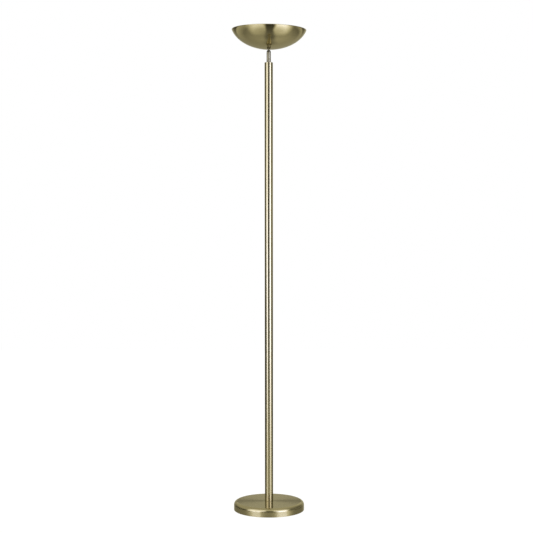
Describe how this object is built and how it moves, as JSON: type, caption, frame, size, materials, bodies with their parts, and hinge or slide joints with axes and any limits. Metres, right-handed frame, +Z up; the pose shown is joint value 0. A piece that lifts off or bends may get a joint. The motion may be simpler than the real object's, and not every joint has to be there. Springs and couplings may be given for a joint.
{
  "type": "torchiere floor lamp",
  "caption": "Torchiere floor lamp: weighted round base, slim sectioned pole and a shallow uplighting bowl on a friction ball joint, in satin antique brass.",
  "frame": {"origin": "on the floor, under the pole's axis", "axes": "+Z up along the pole, +X to the right and +Y to the rear, where the cord goes in"},
  "size_m": [0.2778, 0.2777, 1.8019],
  "materials": {
    "antique_brass": "satin",
    "satin_nickel": "satin",
    "cast_iron": "matte",
    "black_steel": "satin",
    "zinc_steel": "satin",
    "spring_steel": "satin",
    "polished_aluminium": "polished",
    "black_rubber": "matte",
    "white_nylon": "matte",
    "plain_brass": "satin",
    "silver_contact": "satin",
    "steatite": "matte",
    "quartz": "gloss",
    "tungsten": "satin",
    "clear_glass": "gloss",
    "grey_sheath": "matte",
    "silicone_lead": "matte"
  },
  "bodies": {
    "stand": {"base_cover": "antique_brass", "base_nipple": "zinc_steel", "base_nut": "zinc_steel", "base_plate": "black_steel", "base_plate_screws": "zinc_steel", "base_washer": "zinc_steel", "base_weight": "cast_iron", "cable_cores": "silicone_lead", "cord_grommet": "black_rubber", "disc_springs": "zinc_steel", "foot_pads": "black_rubber", "joint_cap": "satin_nickel", "joint_housing": "satin_nickel", "joint_lock_ring": "satin_nickel", "pole_cable": "grey_sheath", "pole_cap": "antique_brass", "pole_coupler_lower": "zinc_steel", "pole_coupler_upper": "zinc_steel", "pole_foot": "zinc_steel", "pole_lower": "antique_brass", "pole_middle": "antique_brass", "pole_upper": "antique_brass", "terminal_barrels": "plain_brass", "terminal_block": "white_nylon", "terminal_block_screw": "zinc_steel", "terminal_screws": "zinc_steel", "top_nipple": "zinc_steel", "top_nut": "zinc_steel", "top_washer": "zinc_steel"},
    "ball_seat": {"ball_seat": "white_nylon"},
    "head": {"ball_stem": "satin_nickel", "bowl": "antique_brass", "bowl_washer": "zinc_steel", "bracket_spacer": "zinc_steel", "lamp_bracket": "zinc_steel", "lock_washer": "zinc_steel", "stem_nut": "zinc_steel", "reflector": "polished_aluminium", "reflector_posts": "zinc_steel", "reflector_rivets": "polished_aluminium", "holder_left": "steatite", "holder_right": "steatite", "holder_screws": "zinc_steel", "lamp_tube": "quartz", "lamp_ends": "steatite", "lamp_filament": "tungsten", "glass_pane": "clear_glass", "glass_clips": "spring_steel", "lead_left": "silicone_lead", "lead_right": "silicone_lead", "contact_spring_left": "spring_steel", "contact_spring_right": "spring_steel"},
    "contact_left": {"contact_pin_left": "silver_contact"},
    "contact_right": {"contact_pin_right": "silver_contact"}
  },
  "joints": [
    {"name": "head_swivel", "type": "hinge", "parent": "stand", "child": "ball_seat", "pos_m": [0, 0, 1.7162], "axis": [0, 0, 1], "range_deg": [-170, 170]},
    {"name": "head_tilt", "type": "hinge", "parent": "ball_seat", "child": "head", "pos_m": [0, 0, 1.7162], "axis": [0.8508, 0.5255, 0], "range_deg": [-20.73, 17.27]},
    {"name": "contact_left_slide", "type": "slide", "parent": "head", "child": "contact_left", "axis": [-0.9999, -0.0002, 0.0159], "range_m": [0, 0.002], "stiffness_N_per_m": 3000, "springref_m": -0.001, "deforming": ["contact_spring_left"]},
    {"name": "contact_right_slide", "type": "slide", "parent": "head", "child": "contact_right", "axis": [0.9999, 0.0002, -0.0159], "range_m": [0, 0.002], "stiffness_N_per_m": 3000, "springref_m": -0.001, "deforming": ["contact_spring_right"]}
  ]
}
